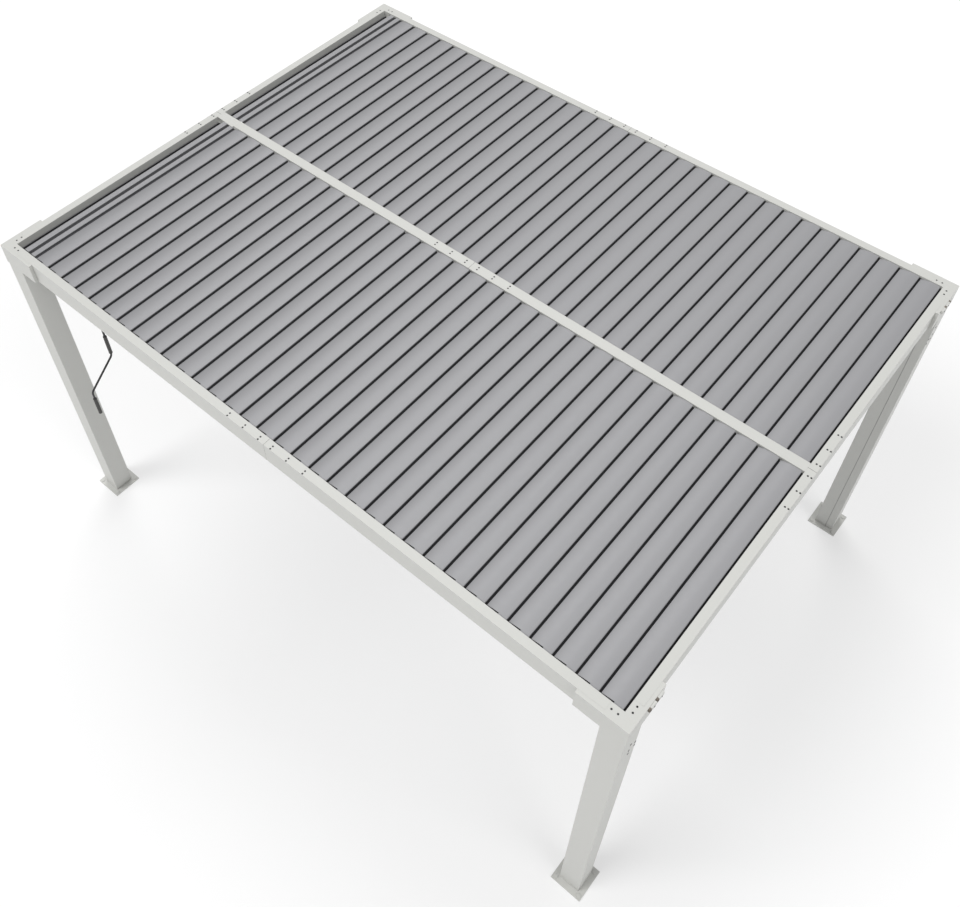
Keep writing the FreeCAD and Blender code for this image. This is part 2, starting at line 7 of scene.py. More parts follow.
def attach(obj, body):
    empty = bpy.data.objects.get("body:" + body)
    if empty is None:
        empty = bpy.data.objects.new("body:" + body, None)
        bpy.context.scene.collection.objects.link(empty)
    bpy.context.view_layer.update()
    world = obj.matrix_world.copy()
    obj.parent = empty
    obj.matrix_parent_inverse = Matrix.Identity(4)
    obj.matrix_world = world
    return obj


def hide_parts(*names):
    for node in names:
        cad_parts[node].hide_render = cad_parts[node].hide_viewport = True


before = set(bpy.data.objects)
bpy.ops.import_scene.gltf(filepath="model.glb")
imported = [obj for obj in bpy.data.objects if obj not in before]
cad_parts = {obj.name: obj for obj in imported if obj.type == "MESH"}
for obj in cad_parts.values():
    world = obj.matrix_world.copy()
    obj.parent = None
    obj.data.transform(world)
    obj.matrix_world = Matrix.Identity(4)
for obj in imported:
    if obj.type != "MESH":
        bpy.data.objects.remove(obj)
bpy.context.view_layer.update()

# The view: the pergola from high above its front right corner.
# Place, turn, focal length and centre of view were fitted to the roof's and the feet's
# corners in the picture, which is 960 by 907.
picture_wide, picture_high = 960, 907
focal_px = 1077.87
centre_px_x, centre_px_y = 457.92, 324.87
camera_place, camera_turn = (2.4818, -3.0579, 6.3490), (90 - 49.011, -0.020, 40.139)


def placed(name, data):
    """A new object in the scene."""
    piece = bpy.data.objects.new(name, data)
    bpy.context.scene.collection.objects.link(piece)
    return piece


camera_data = bpy.data.cameras.new("view")
camera_data.sensor_width = 36.0
camera_data.lens = focal_px * camera_data.sensor_width / picture_wide
camera_data.shift_x = (picture_wide / 2 - centre_px_x) / picture_wide
camera_data.shift_y = -(picture_high / 2 - centre_px_y) / picture_wide
camera_data.clip_end = 100.0
camera = placed("view", camera_data)
camera.location = camera_place
camera.rotation_euler = Euler([math.radians(turn) for turn in camera_turn])
bpy.context.scene.camera = camera
bpy.context.scene.view_settings.view_transform = "Standard"

# Posts: square aluminium tubes, 120 mm wide, extruded and powder-coated in a warm white.
# The coat is satin, with the fine pebble that baked powder has, and its corners are eased.
# Five screws in one outer side hold the corner fitting, each by its distance in and height.
coat_white = (0.530, 0.532, 0.508)
post_edge = 0.0016
half_long, half_short = 2.010, 1.500
post_screws = ((0.065, 1.970), (0.112, 1.970), (0.065, 1.935), (0.112, 1.935), (0.068, 2.032))
weld_gap, flat_turn = 0.00001, math.radians(1.0)


class Shade:
    """A shader socket that is added up and multiplied like a number."""

    def __init__(self, tree, socket):
        self.tree = tree
        self.socket = socket

    def sum(self, operation, first, second):
        node = self.tree.nodes.new("ShaderNodeMath")
        node.operation = operation
        for slot, value in zip(node.inputs, (first, second)):
            if isinstance(value, Shade):
                self.tree.links.new(value.socket, slot)
            else:
                slot.default_value = value
        return Shade(self.tree, node.outputs[0])

    def __add__(self, other):
        return self.sum("ADD", self, other)

    def __radd__(self, other):
        return self.sum("ADD", other, self)

    def __sub__(self, other):
        return self.sum("SUBTRACT", self, other)

    def __rsub__(self, other):
        return self.sum("SUBTRACT", other, self)

    def __mul__(self, other):
        return self.sum("MULTIPLY", self, other)

    def __rmul__(self, other):
        return self.sum("MULTIPLY", other, self)

    def above(self, edge):
        return self.sum("GREATER_THAN", self, edge)


class Board:
    """A shader tree to which nodes are added one by one."""

    def __init__(self, tree):
        self.tree = tree

    def node(self, kind, settings=None, sockets=None, out=0):
        """One node: its settings first, then the values or links of its sockets."""
        made = self.tree.nodes.new(kind)
        for key, value in (settings or {}).items():
            setattr(made, key, value)
        for key, value in (sockets or {}).items():
            if isinstance(value, Shade):
                self.tree.links.new(value.socket, made.inputs[key])
            else:
                made.inputs[key].default_value = value
        return Shade(self.tree, made.outputs[out])


class Finish(Board):
    """A surface finish under construction: one material and its principled shader."""

    def __init__(self, name, roughness, metallic=0.0):
        self.material = bpy.data.materials.new(name)
        self.material.use_nodes = True
        super().__init__(self.material.node_tree)
        self.shader = self.tree.nodes["Principled BSDF"]
        self.shader.inputs["Roughness"].default_value = roughness
        self.shader.inputs["Metallic"].default_value = metallic
        self.place = self.node("ShaderNodeTexCoord", out="Object")

    def stretched(self, x, y, z):
        """The object's own coordinates, scaled along each axis."""
        return self.node("ShaderNodeMapping", None, {"Vector": self.place, "Scale": (x, y, z)})

    def noise(self, scale, detail=2.0, rough=0.5, at=None):
        return self.node(
            "ShaderNodeTexNoise", None,
            {"Vector": at or self.place, "Scale": scale, "Detail": detail, "Roughness": rough},
        )

    def blend(self, amount, first, second):
        """A colour between two, by a mask."""
        return self.node(
            "ShaderNodeMix", {"data_type": "RGBA"},
            {"Factor": amount, 6: first + (1.0,), 7: second + (1.0,)}, 2,
        )

    def feed(self, name, shade):
        self.tree.links.new(shade.socket, self.shader.inputs[name])

    def bump(self, height, strength, distance):
        self.feed("Normal", self.node(
            "ShaderNodeBump", None,
            {"Height": height, "Strength": strength, "Distance": distance},
        ))


def powder_coat(name, colour, roughness, shift, metallic=0.0):
    """Baked powder: a fine pebble, a slow drift of tone, and a little dust in the satin."""
    made = Finish(name, roughness, metallic)
    drift = made.noise(1.7, 3.0)
    cloud = made.noise(38.0, 2.0)
    darker = tuple(c * (1 - shift) for c in colour)
    lighter = tuple(min(1.0, c * (1 + shift)) for c in colour)
    made.feed("Base Color", made.blend(drift * 0.7 + cloud * 0.3, darker, lighter))
    made.feed("Roughness", roughness - 0.05 + cloud * 0.1)
    made.bump(made.noise(850.0, 1.0), 0.12, 0.0002)
    return made.material


white_coat = powder_coat("coat_white", coat_white, 0.42, 0.022)


def copy_of(node, name):
    """A merged copy of a drawn part, as the blank for a finished piece."""
    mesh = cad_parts[node].data.copy()
    mesh.materials.clear()
    work = bmesh.new()
    work.from_mesh(mesh)
    bmesh.ops.remove_doubles(work, verts=work.verts, dist=weld_gap)
    bmesh.ops.dissolve_limit(work, angle_limit=flat_turn, verts=work.verts, edges=work.edges)
    work.to_mesh(mesh)
    work.free()
    return placed(name, mesh)


def settled(piece):
    """The piece with its modifiers worked into a plain mesh."""
    graph = bpy.context.evaluated_depsgraph_get()
    mesh = bpy.data.meshes.new_from_object(
        piece.evaluated_get(graph), preserve_all_data_layers=True, depsgraph=graph,
    )
    piece.modifiers.clear()
    piece.data = mesh
    return piece


def ease(piece, width, steps=2):
    """Round the piece's edges, and keep its large faces flat."""
    sharp_from, flat_weight = 35, 100
    edge = piece.modifiers.new("edge", "BEVEL")
    edge.width = width
    edge.segments = steps
    edge.limit_method = "ANGLE"
    edge.angle_limit = math.radians(sharp_from)
    flats = piece.modifiers.new("flats", "WEIGHTED_NORMAL")
    flats.mode = "FACE_AREA"
    flats.weight = flat_weight
    for face in piece.data.polygons:
        face.use_smooth = True
    settled(piece)


def fit(piece, body, material, slot, *nodes):
    """Give the piece its finish and its place on a body, and hide the drawn parts it stands for.
    """
    piece.data.materials.clear()
    piece.data.materials.append(material)
    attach(piece, body)
    if nodes:
        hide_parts(*nodes)


corners = {
    "front_left": (-1, -1), "front_right": (1, -1),
    "back_right": (1, 1), "back_left": (-1, 1),
}
all_post_spots = []
for corner, (sx, sy) in corners.items():
    spots = [
        ((sx * half_long, sy * (half_short - inward), up), (sx, 0, 0))
        for inward, up in post_screws
    ]
    all_post_spots += spots
    tube = copy_of("post_" + corner, "post_tube_" + corner)
    ease(tube, post_edge)
    fit(tube, "frame", white_coat, "frame_white", "post_" + corner)

# Base plates: 8 mm aluminium, one under each post, coated like the posts.
# Low white caps stand over the anchors near the plates' corners.
post_side, plate_thick = 0.120, 0.008
anchor_reach = 0.076
cap_radius, cap_rise = 0.0125, 0.0045
plate_edge = 0.0012
plates = copy_of("post_feet", "base_plates")
ease(plates, plate_edge)
fit(plates, "frame", white_coat, "frame_white", "post_feet")


class Recipe:
    """A geometry node tree under construction, with named sizes."""

    def __init__(self, name, sizes):
        self.tree = bpy.data.node_groups.new(name, "GeometryNodeTree")
        face = self.tree.interface
        face.new_socket("Geometry", in_out="INPUT", socket_type="NodeSocketGeometry")
        self.keys = {}
        for label, value in sizes.items():
            item = face.new_socket(label, in_out="INPUT", socket_type="NodeSocketFloat")
            item.default_value = value
            self.keys[label] = item.identifier
        face.new_socket("Geometry", in_out="OUTPUT", socket_type="NodeSocketGeometry")
        self.given = self.tree.nodes.new("NodeGroupInput")
        self.result = self.tree.nodes.new("NodeGroupOutput")

    def step(self, kind, settings=None, sockets=None, out=0):
        made = self.tree.nodes.new(kind)
        for key, value in (settings or {}).items():
            setattr(made, key, value)
        for key, value in (sockets or {}).items():
            for link in value if isinstance(value, list) else [value]:
                if isinstance(link, bpy.types.NodeSocket):
                    self.tree.links.new(link, made.inputs[key])
                else:
                    made.inputs[key].default_value = link
        return made.outputs[out]

    def size(self, label):
        return self.given.outputs[label]

    def maths(self, operation, first, second=0.0):
        return self.step("ShaderNodeMath", {"operation": operation}, {0: first, 1: second})

    def spot(self, x=0.0, y=0.0, z=0.0):
        return self.step("ShaderNodeCombineXYZ", None, {"X": x, "Y": y, "Z": z})

    def cylinder(self, sides, radius, depth):
        return self.step("GeometryNodeMeshCylinder", None, {
            "Vertices": sides, "Radius": radius, "Depth": depth,
        })

    def moved(self, shape, way):
        return self.step("GeometryNodeTransform", None, {"Geometry": shape, "Translation": way})

    def joined(self, shapes):
        return self.step("GeometryNodeJoinGeometry", None, {"Geometry": shapes})

    def finish(self, shape, material):
        real = self.step("GeometryNodeRealizeInstances", None, {"Geometry": shape})
        dressed = self.step(
            "GeometryNodeSetMaterial", None, {"Geometry": real, "Material": material},
        )
        self.tree.links.new(dressed, self.result.inputs[0])

    def make(self, name, mesh=None, **sizes):
        """Run the tree on a mesh and keep what comes out as a plain mesh."""
        piece = placed(name, mesh or bpy.data.meshes.new(name))
        added = piece.modifiers.new("recipe", "NODES")
        added.node_group = self.tree
        for label, value in sizes.items():
            added[self.keys[label.replace("_", " ")]] = value
        return settled(piece)


def spots_mesh(spots):
    """A vertex at each spot that remembers which way the fastener there faces."""
    mesh = bpy.data.meshes.new("spots")
    mesh.from_pydata([spot for spot, facing in spots], [], [])
    ways = mesh.attributes.new("facing", "FLOAT_VECTOR", "POINT")
    for i, (spot, facing) in enumerate(spots):
        ways.data[i].vector = facing
    return mesh


def on_spots(recipe, shape):
    """One copy of the shape at each spot, turned to face its way."""
    facing = recipe.step(
        "GeometryNodeInputNamedAttribute", {"data_type": "FLOAT_VECTOR"}, {"Name": "facing"},
    )
    turn = recipe.step("FunctionNodeAlignRotationToVector", {"axis": "Z"}, {"Vector": facing})
    return recipe.step(
        "GeometryNodeInstanceOnPoints", None,
        {"Points": recipe.given.outputs[0], "Instance": shape, "Rotation": turn},
    )


cap = Recipe("anchor_cap", {"radius": cap_radius, "rise": cap_rise})
low = cap.cylinder(28, cap.size("radius"), cap.size("rise"))
low = cap.moved(low, cap.spot(z=cap.maths("MULTIPLY", cap.size("rise"), 0.5)))
cap.finish(on_spots(cap, low), white_coat)
cap_spots = [
    ((sx * (half_long - post_side / 2) + dx * anchor_reach,
      sy * (half_short - post_side / 2) + dy * anchor_reach, plate_thick), (0, 0, 1))
    for sx, sy in corners.values() for dx in (-1, 1) for dy in (-1, 1)
]
caps = cap.make("anchor_caps", spots_mesh(cap_spots))
ease(caps, plate_edge, 3)
fit(caps, "frame", white_coat, "frame_white")

# Corner fittings: cast blocks over the posts, with legs that lap the beams' outer faces.
# Each is held by four dark countersunk screws from above, two on each leg.
top_z = 2.295
fitting_edge = 0.0008
screw_in, screw_near, screw_far = 0.033, 0.073, 0.1035
screw_bore, screw_sink = 0.0046, 0.0022
screw_thick, key_deep = 0.0014, 0.0016
side_head, side_proud = 0.0056, 0.0012


def drill(piece, spots, radius, depth):
    """Blind holes in the piece. A spot is its mouth's centre and the way it faces."""
    tool = bmesh.new()
    for spot, facing in spots:
        turn = Vector(facing).to_track_quat("Z", "Y").to_matrix().to_4x4()
        bmesh.ops.create_cone(
            tool, cap_ends=True, segments=20, radius1=radius, radius2=radius, depth=depth * 2,
            matrix=Matrix.Translation(spot) @ turn,
        )
    mesh = bpy.data.meshes.new("drill")
    tool.to_mesh(mesh)
    tool.free()
    cutter = placed("drill", mesh)
    bore = piece.modifiers.new("bore", "BOOLEAN")
    bore.operation = "DIFFERENCE"
    bore.solver = "EXACT"
    bore.object = cutter
    settled(piece)
    bpy.data.objects.remove(cutter)


def dark_screw_finish():
    """Black-zinc steel: nearly black, with a faint bloom."""
    made = Finish("screw_black", 0.42, 0.75)
    bloom = made.noise(420.0, 2.0)
    made.feed("Base Color", made.blend(bloom, (0.018, 0.018, 0.019), (0.05, 0.05, 0.052)))
    made.feed("Roughness", 0.34 + bloom * 0.18)
    return made.material


screw_black = dark_screw_finish()
screw = Recipe("sunk_screw", {"head": 0.0043, "below": 0.0004, "key": 0.0018})
disc = screw.cylinder(16, screw.size("head"), screw_thick)
socket_cut = screw.cylinder(6, screw.size("key"), key_deep)
socket_cut = screw.moved(socket_cut, (0.0, 0.0, screw_thick / 2))
head = screw.step(
    "GeometryNodeMeshBoolean", {"operation": "DIFFERENCE", "solver": "EXACT"},
    {"Mesh 1": disc, "Mesh 2": socket_cut},
)
sunk = screw.maths("SUBTRACT", -screw_thick / 2, screw.size("below"))
head = screw.moved(head, screw.spot(z=sunk))
screw.finish(on_spots(screw, head), screw_black)

all_corner_spots = []
for corner, (sx, sy) in corners.items():
    spots = []
    for along in (screw_near, screw_far):
        spots.append(((sx * (half_long - along), sy * (half_short - screw_in), top_z), (0, 0, 1)))
        spots.append(((sx * (half_long - screw_in), sy * (half_short - along), top_z), (0, 0, 1)))
    all_corner_spots += spots
    block = copy_of("corner_" + corner, "corner_block_" + corner)
    drill(block, spots, screw_bore, screw_sink)
    ease(block, fitting_edge)
    fit(block, "frame", white_coat, "frame_white", "corner_" + corner)
corner_screws = screw.make("corner_screws", spots_mesh(all_corner_spots))
fit(corner_screws, "frame", screw_black, "dark_metal")
side_screws = screw.make(
    "post_screws", spots_mesh(all_post_spots), head=side_head, below=-side_proud,
)
fit(side_screws, "frame", screw_black, "dark_metal")

# Beams: extruded aluminium in two halves on each side, butted at mid-span.
# The halves are held on inner tubes by pairs of dark countersunk screws from above.
splice_steps = (0.041, 0.143, 0.248)
splice_rows = (0.0195, 0.0365)
beam_edge = 0.0008


def splice_spots(side, half):
    """The screws of one half beam. Side is its outward way, half the way it runs."""
    spots = []
    for along in splice_steps:
        for row in splice_rows:
            if side[0]:
                spot = (side[0] * (half_long - row), half * along, top_z)
            else:
                spot = (half * along, side[1] * (half_short - row), top_z)
            spots.append((spot, (0, 0, 1)))
    return spots


beam_halves = {
    "front_left": ((0, -1), -1), "front_right": ((0, -1), 1),
    "back_left": ((0, 1), -1), "back_right": ((0, 1), 1),
    "left_front": ((-1, 0), -1), "left_back": ((-1, 0), 1),
    "right_front": ((1, 0), -1), "right_back": ((1, 0), 1),
}
all_splice_spots = []
for name, (side, half) in beam_halves.items():
    spots = splice_spots(side, half)
    all_splice_spots += spots
    beam = copy_of("beam_" + name, "beam_half_" + name)
    drill(beam, spots, screw_bore, screw_sink)
    ease(beam, beam_edge)
    fit(beam, "frame", white_coat, "frame_white", "beam_" + name)

# Centre beam: a coated web under a wide flange, in two halves like the others.
# Its louvre pins turn in a slot between two rails on each side of the web.
centre_screw_y, centre_screw_row = 0.001, 0.009
for half_name, half in (("left", -1), ("right", 1)):
    spots = [
        ((half * along, centre_screw_y + row * centre_screw_row, top_z), (0, 0, 1))
        for along in splice_steps for row in (-1, 1)
    ]
    all_splice_spots += spots
    beam = copy_of("beam_centre_" + half_name, "beam_half_centre_" + half_name)
    drill(beam, spots, screw_bore, screw_sink)
    ease(beam, beam_edge)
    fit(beam, "frame", white_coat, "frame_white", "beam_centre_" + half_name)
splice_screws = screw.make("splice_screws", spots_mesh(all_splice_spots))
fit(splice_screws, "frame", screw_black, "dark_metal")

# Edge clamps: small cast blocks screwed to the corner legs, two at each end of the right side.
# Each has a worn rubber pad on the side of the corner, and a screw through pad and block.
clamp_starts = (0.122, 0.1735)
pad_long, block_long = 0.012, 0.036
leg_face, clamp_out, pad_trim, head_out = 2.0138, 0.012, 0.002, 0.0007
clamp_low, clamp_high = 2.2730, 2.2947
pad_edge, clamp_edge, clamp_proud = 0.001, 0.0025, 0.0006


def block_mesh(name, boxes):
    """Plain blocks in one mesh, each from its lowest to its highest corner."""
    work = bmesh.new()
    for low, high in boxes:
        low, high = Vector(low), Vector(high)
        size = Matrix.Diagonal((high - low).to_4d())
        bmesh.ops.create_cube(
            work, size=1.0, matrix=Matrix.Translation((low + high) / 2) @ size,
        )
    mesh = bpy.data.meshes.new(name)
    work.to_mesh(mesh)
    work.free()
    return placed(name, mesh)


def dull_finish(name, dark, light, roughness):
    """A dull finish, a little blotchy, with a fine grain: moulded rubber, and dark strips of
    painted shade.
    """
    made = Finish(name, roughness)
    made.shader.inputs["Specular IOR Level"].default_value = 0.22
    cloud = made.noise(70.0, 3.0)
    made.feed("Base Color", made.blend(cloud, dark, light))
    made.feed("Roughness", roughness - 0.06 + cloud * 0.12)
    made.bump(made.noise(1200.0, 1.0), 0.25, 0.0001)
    return made.material


pad_brown = dull_finish("pad_brown", (0.10, 0.085, 0.07), (0.25, 0.22, 0.19), 0.7)
pad_boxes, block_boxes, clamp_spots = [], [], []
for sx, sy in (corners["front_right"], corners["back_right"]):
    for start in clamp_starts:
        near, seam_at, far = start, start + pad_long, start + pad_long + block_long
        for boxes, a, b, trim in (
            (pad_boxes, near, seam_at, pad_trim), (block_boxes, seam_at, far, 0.0),
        ):
            xs = sorted((sx * leg_face, sx * (leg_face + clamp_out - trim)))
            ys = sorted((sy * (half_short - a), sy * (half_short - b)))
            boxes.append(((xs[0], ys[0], clamp_low), (xs[1], ys[1], clamp_high - trim * 0.5)))
            middle = sy * (half_short - (a + b) / 2)
            side_x = sx * (leg_face + clamp_out - trim + head_out)
            clamp_spots.append(((side_x, middle, (clamp_low + clamp_high) / 2), (sx, 0, 0)))
pads = block_mesh("clamp_pads", pad_boxes)
ease(pads, pad_edge)
fit(pads, "frame", pad_brown, "dark_plastic")
clamp_blocks = block_mesh("clamp_blocks", block_boxes)
ease(clamp_blocks, clamp_edge, 3)
fit(clamp_blocks, "frame", white_coat, "frame_white")
clamp_screws = screw.make("clamp_screws", spots_mesh(clamp_spots), below=-clamp_proud)
fit(clamp_screws, "frame", screw_black, "dark_metal")

# Joint gaskets: thin dark rubber strips between the butted ends of the half beams, just under
# the surface, and a small white bracket that ties the centre beam to the left beam in front.
joint_black = dull_finish("joint_black", (0.03, 0.03, 0.03), (0.06, 0.06, 0.058), 0.7)
half_gap, under_skin, strip_wide = 0.00046, 0.0004, 0.0019
beam_low, beam_from, beam_to = 2.170, 0.014, 0.058
flange_half, flange_deep = 0.0281, 0.0028
bracket_low, bracket_high = (-1.9520, -0.0385, 2.2912), (-1.8140, -0.0280, 2.2947)
bracket_end_x, bracket_edge_y, bracket_end_y = -1.9, -0.03, -0.0290
low_z, high_z = beam_low + under_skin, top_z - under_skin
beam_faces = (half_short - beam_to + under_skin, half_short - beam_from - under_skin)
joint_boxes = []
for sign in (-1, 1):
    for swap, reach in ((False, 0.0), (True, half_long - half_short)):
        near, far = (sign * (face + reach) for face in beam_faces)
        a, b = min(near, far), max(near, far)
        for low, high in (
            ((a, low_z), (b, low_z + strip_wide)), ((a, high_z - strip_wide), (b, high_z)),
            ((a, low_z), (a + strip_wide, high_z)), ((b - strip_wide, low_z), (b, high_z)),
        ):
            if swap:
                box = ((low[0], -half_gap, low[1]), (high[0], half_gap, high[1]))
            else:
                box = ((-half_gap, low[0], low[1]), (half_gap, high[0], high[1]))
            joint_boxes.append(box)
joint_boxes.append(
    ((-half_gap, -flange_half, high_z - flange_deep), (half_gap, flange_half, high_z))
)
joints = block_mesh("joint_gaskets", joint_boxes)
fit(joints, "frame", joint_black, "dark_plastic")
bracket = block_mesh("end_bracket", [(bracket_low, bracket_high)])
for vertex in bracket.data.vertices:
    if vertex.co.x < bracket_end_x and vertex.co.y < bracket_edge_y:
        vertex.co.y = bracket_end_y
ease(bracket, beam_edge)
fit(bracket, "frame", white_coat, "frame_white")

# Cover strips: one in the groove on the inner side of every post, from the base plate up to
# the beam. They are grey plastic, pressed in until they lie just under the surface.
strip_at, strip_half, strip_deep, strip_sunk = 0.046, 0.0019, 0.0012, 0.0003
strip_low, strip_high = plate_thick + 0.0005, 2.1635
strip_boxes = []
for sx, sy in corners.values():
    xs = sorted(sx * (half_long - strip_at + side * strip_half) for side in (-1, 1))
    ys = sorted(
        sy * (half_short - post_side + deep) for deep in (strip_sunk, strip_sunk + strip_deep)
    )
    strip_boxes.append(((xs[0], ys[0], strip_low), (xs[1], ys[1], strip_high)))
cover_strips = block_mesh("cover_strips", strip_boxes)
trim_grey = dull_finish("trim_grey", (0.27, 0.27, 0.26), (0.33, 0.33, 0.32), 0.55)
fit(cover_strips, "frame", trim_grey, "dark_plastic")

# Splice joiners: box tubes inside the beams that hold their halves together under the screws.
# They are aluminium as it comes from the die, which leaves fine lines along them.
joiner_edge = 0.0006


def mill_finish(name, colour, roughness):
    """Bare aluminium as it comes from the die: fine lines along the bar and a dull bloom."""
    made = Finish(name, roughness, 1.0)
    lines = made.noise(1.0, 2.0, 0.6, made.stretched(60.0, 900.0, 900.0))
    bloom = made.noise(45.0, 3.0)
    dull = tuple(c * 0.82 for c in colour)
    made.feed("Base Color", made.blend(lines * 0.5 + bloom * 0.5, dull, colour))
    made.feed("Roughness", roughness - 0.08 + lines * 0.16)
    made.bump(lines, 0.15, 0.0001)
    return made.material


mill_aluminium = mill_finish("mill_aluminium", (0.74, 0.75, 0.76), 0.38)
joiners = copy_of("splice_joiners", "splice_tubes")
ease(joiners, joiner_edge)
fit(joiners, "frame", mill_aluminium, "bare_metal", "splice_joiners")

# End fillers: fixed ribbed strips beside the left beam, which fill the roof up to the first
# louvre. They are extruded and coated grey like the louvres.
grey_edge = 0.0006
coat_grey = (0.280, 0.280, 0.290)
grey_coat = powder_coat("coat_grey", coat_grey, 0.47, 0.02, 0.16)
fillers = copy_of("end_fillers", "filler_strips")
ease(fillers, grey_edge)
fit(fillers, "frame", grey_coat, "louvre_grey", "end_fillers")

# Louvres: hollow extruded blades, one in each bay on every pivot line, coated grey.
# The crown is level at its crest, and the nose is blunt. End plates close the blade and
# carry the round pins, and an eye under the inner end takes the tie bar's pin.
louvre_count, pitch = 33, 0.1136
first_pivot, pivot_z = -1.7447, 2.276
blade_half = 0.0513
blade_base, blade_top, lead_top, nose_top = -0.008, 0.015, 0.004, 0.011
crest_u, nose_round, nose_fall, lead_more = 0.0133, 0.0045, 0.0015, 0.0012
foot_in, foot_up = 0.003, 0.004
crown_rise, crown_run = blade_top - lead_top, crest_u + blade_half + lead_more
crown_radius = (crown_rise ** 2 + crown_run ** 2) / (crown_rise * 2)
lip_reach, lip_top, lip_low = 0.014, -0.013, -0.015
lip_root, ramp_end = 0.008, 0.014
blade_inner, blade_outer = 0.0345, 1.436
pin_radius, pin_outer, pin_inner = 0.005, 1.448, 0.0105


def crown_line(steps):
    """Points of the crown from the nose's top over the crest to the leading edge."""
    return [
        (crest_u - crown_run * i / steps,
         blade_top - crown_radius + math.sqrt(crown_radius ** 2 - (crown_run * i / steps) ** 2))
        for i in range(steps + 1)
    ]


def nose_line(steps):
    """Points round the nose, from its foot up to the crest."""
    flat_from = blade_half - nose_round
    line = []
    for i in range(1, steps + 1):
        turn = math.pi / 2 * i / steps
        rise = (blade_top - nose_fall - nose_top) * math.sin(turn)
        line.append((flat_from + nose_round * math.cos(turn), nose_top + rise))
    for share in (0.75, 0.5, 0.25):
        down = nose_fall * share ** 2
        line.append((crest_u + (flat_from - crest_u) * share, blade_top - down))
    return line


blade_outline = [
    (-blade_half - lip_reach, lip_low), (-blade_half + lip_root, lip_low),
    (-blade_half + ramp_end, blade_base), (blade_half - foot_in, blade_base),
    (blade_half, blade_base + foot_up), (blade_half, nose_top),
]
blade_outline += nose_line(6) + crown_line(14) + [
    (-blade_half - lead_more, lip_top), (-blade_half - lip_reach, lip_top),
]


def drawn_line(name, loops):
    """Closed outlines in the XZ plane as one curve, for sweeping or filling."""
    line = bpy.data.curves.new(name, "CURVE")
    line.dimensions = "2D"
    for loop in loops:
        part = line.splines.new("POLY")
        part.points.add(len(loop) - 1)
        for point, (x, y) in zip(part.points, loop):
            point.co = (x, y, 0.0, 1.0)
        part.use_cyclic_u = True
    return placed(name, line)


def circle_line(x, y, radius, count=16):
    turns = [math.tau * i / count for i in range(count)]
    return [(x + radius * math.cos(t), y + radius * math.sin(t)) for t in turns]


eye_x, eye_z, eye_bore, eye_thick = -0.0346, -0.020, 0.0032, 0.003
eye_outline = [
    (eye_x - 0.009, -0.0075), (eye_x - 0.0062, eye_z - 0.0022), (eye_x - 0.0040, eye_z - 0.0060),
    (eye_x, eye_z - 0.0070), (eye_x + 0.0040, eye_z - 0.0060), (eye_x + 0.0062, eye_z - 0.0022),
    (eye_x + 0.009, -0.0075),
]
section = drawn_line("blade_section", [blade_outline])
eye_shape = drawn_line("eye_shape", [eye_outline, circle_line(eye_x, eye_z, eye_bore)])


def slab(recipe, holder, thick):
    """A flat plate of the drawn outline, standing across Y, from y = 0 to its thickness."""
    drawn = recipe.step("GeometryNodeObjectInfo", None, {"Object": holder}, "Geometry")
    flat = recipe.step("GeometryNodeFillCurve", {"mode": "NGONS"}, {"Curve": drawn})
    deep = recipe.step(
        "GeometryNodeExtrudeMesh", {"mode": "FACES"},
        {"Mesh": flat, "Offset Scale": thick, "Individual": False},
    )
    back = recipe.step("GeometryNodeFlipFaces", None, {"Mesh": flat})
    whole = recipe.step("GeometryNodeMergeByDistance", None, {
        "Geometry": recipe.joined([deep, back]), "Distance": 1e-6,
    })
    return recipe.step(
        "GeometryNodeTransform", None,
        {"Geometry": whole, "Rotation": (math.pi / 2, 0.0, 0.0)},
    )


def rod_along_y(recipe, radius, start, end, count=20):
    """A round bar along Y between two places."""
    long = recipe.maths("SUBTRACT", end, start)
    middle = recipe.maths("MULTIPLY", recipe.maths("ADD", start, end), 0.5)
    bar = recipe.cylinder(count, radius, long)
    return recipe.step("GeometryNodeTransform", None, {
        "Geometry": bar, "Rotation": (math.pi / 2, 0.0, 0.0), "Translation": recipe.spot(y=middle),
    })


louvre = Recipe("louvre", {
    "pivot x": 0.0, "inner end": blade_inner, "outer end": blade_outer,
    "pin radius": pin_radius, "pin inner": pin_inner, "pin outer": pin_outer,
})
blade = slab(
    louvre, section, louvre.maths("SUBTRACT", louvre.size("outer end"), louvre.size("inner end")),
)
eye = slab(louvre, eye_shape, eye_thick)
parts = []
for sy in (-1, 1):
    start = louvre.size("inner end") if sy < 0 else louvre.size("outer end")
    parts.append(louvre.moved(blade, louvre.spot(y=louvre.maths("MULTIPLY", start, float(sy)))))
    eye_from = louvre.size("inner end")
    if sy > 0:
        eye_from = louvre.maths("ADD", eye_from, eye_thick)
    parts.append(louvre.moved(eye, louvre.spot(y=louvre.maths("MULTIPLY", eye_from, float(sy)))))
    for near, far in (("pin inner", "inner end"), ("outer end", "pin outer")):
        ends = [louvre.maths("MULTIPLY", louvre.size(e), float(sy)) for e in (near, far)]
        ends = ends if sy > 0 else ends[::-1]
        parts.append(rod_along_y(louvre, louvre.size("pin radius"), *ends))
pivot = louvre.spot(x=louvre.size("pivot x"), z=pivot_z)
louvre.finish(louvre.moved(louvre.joined(parts), pivot), grey_coat)


def pivot_x(number):
    return first_pivot + pitch * (number - 1)


for number in range(1, louvre_count + 1):
    name = "louvre_%02d" % number
    blades = louvre.make("blades_%02d" % number, pivot_x=pivot_x(number))
    ease(blades, grey_edge)
    fit(blades, name, grey_coat, "louvre_grey", name)
for holder in (section, eye_shape):
    bpy.data.objects.remove(holder)

# End caps: moulded grey plastic on both ends of every blade, over the end plates.
# They end just short of the beams, and keep the rain off the bearings.
cap_long, cap_inset, cap_edge = 0.0053, 0.0003, 0.0004


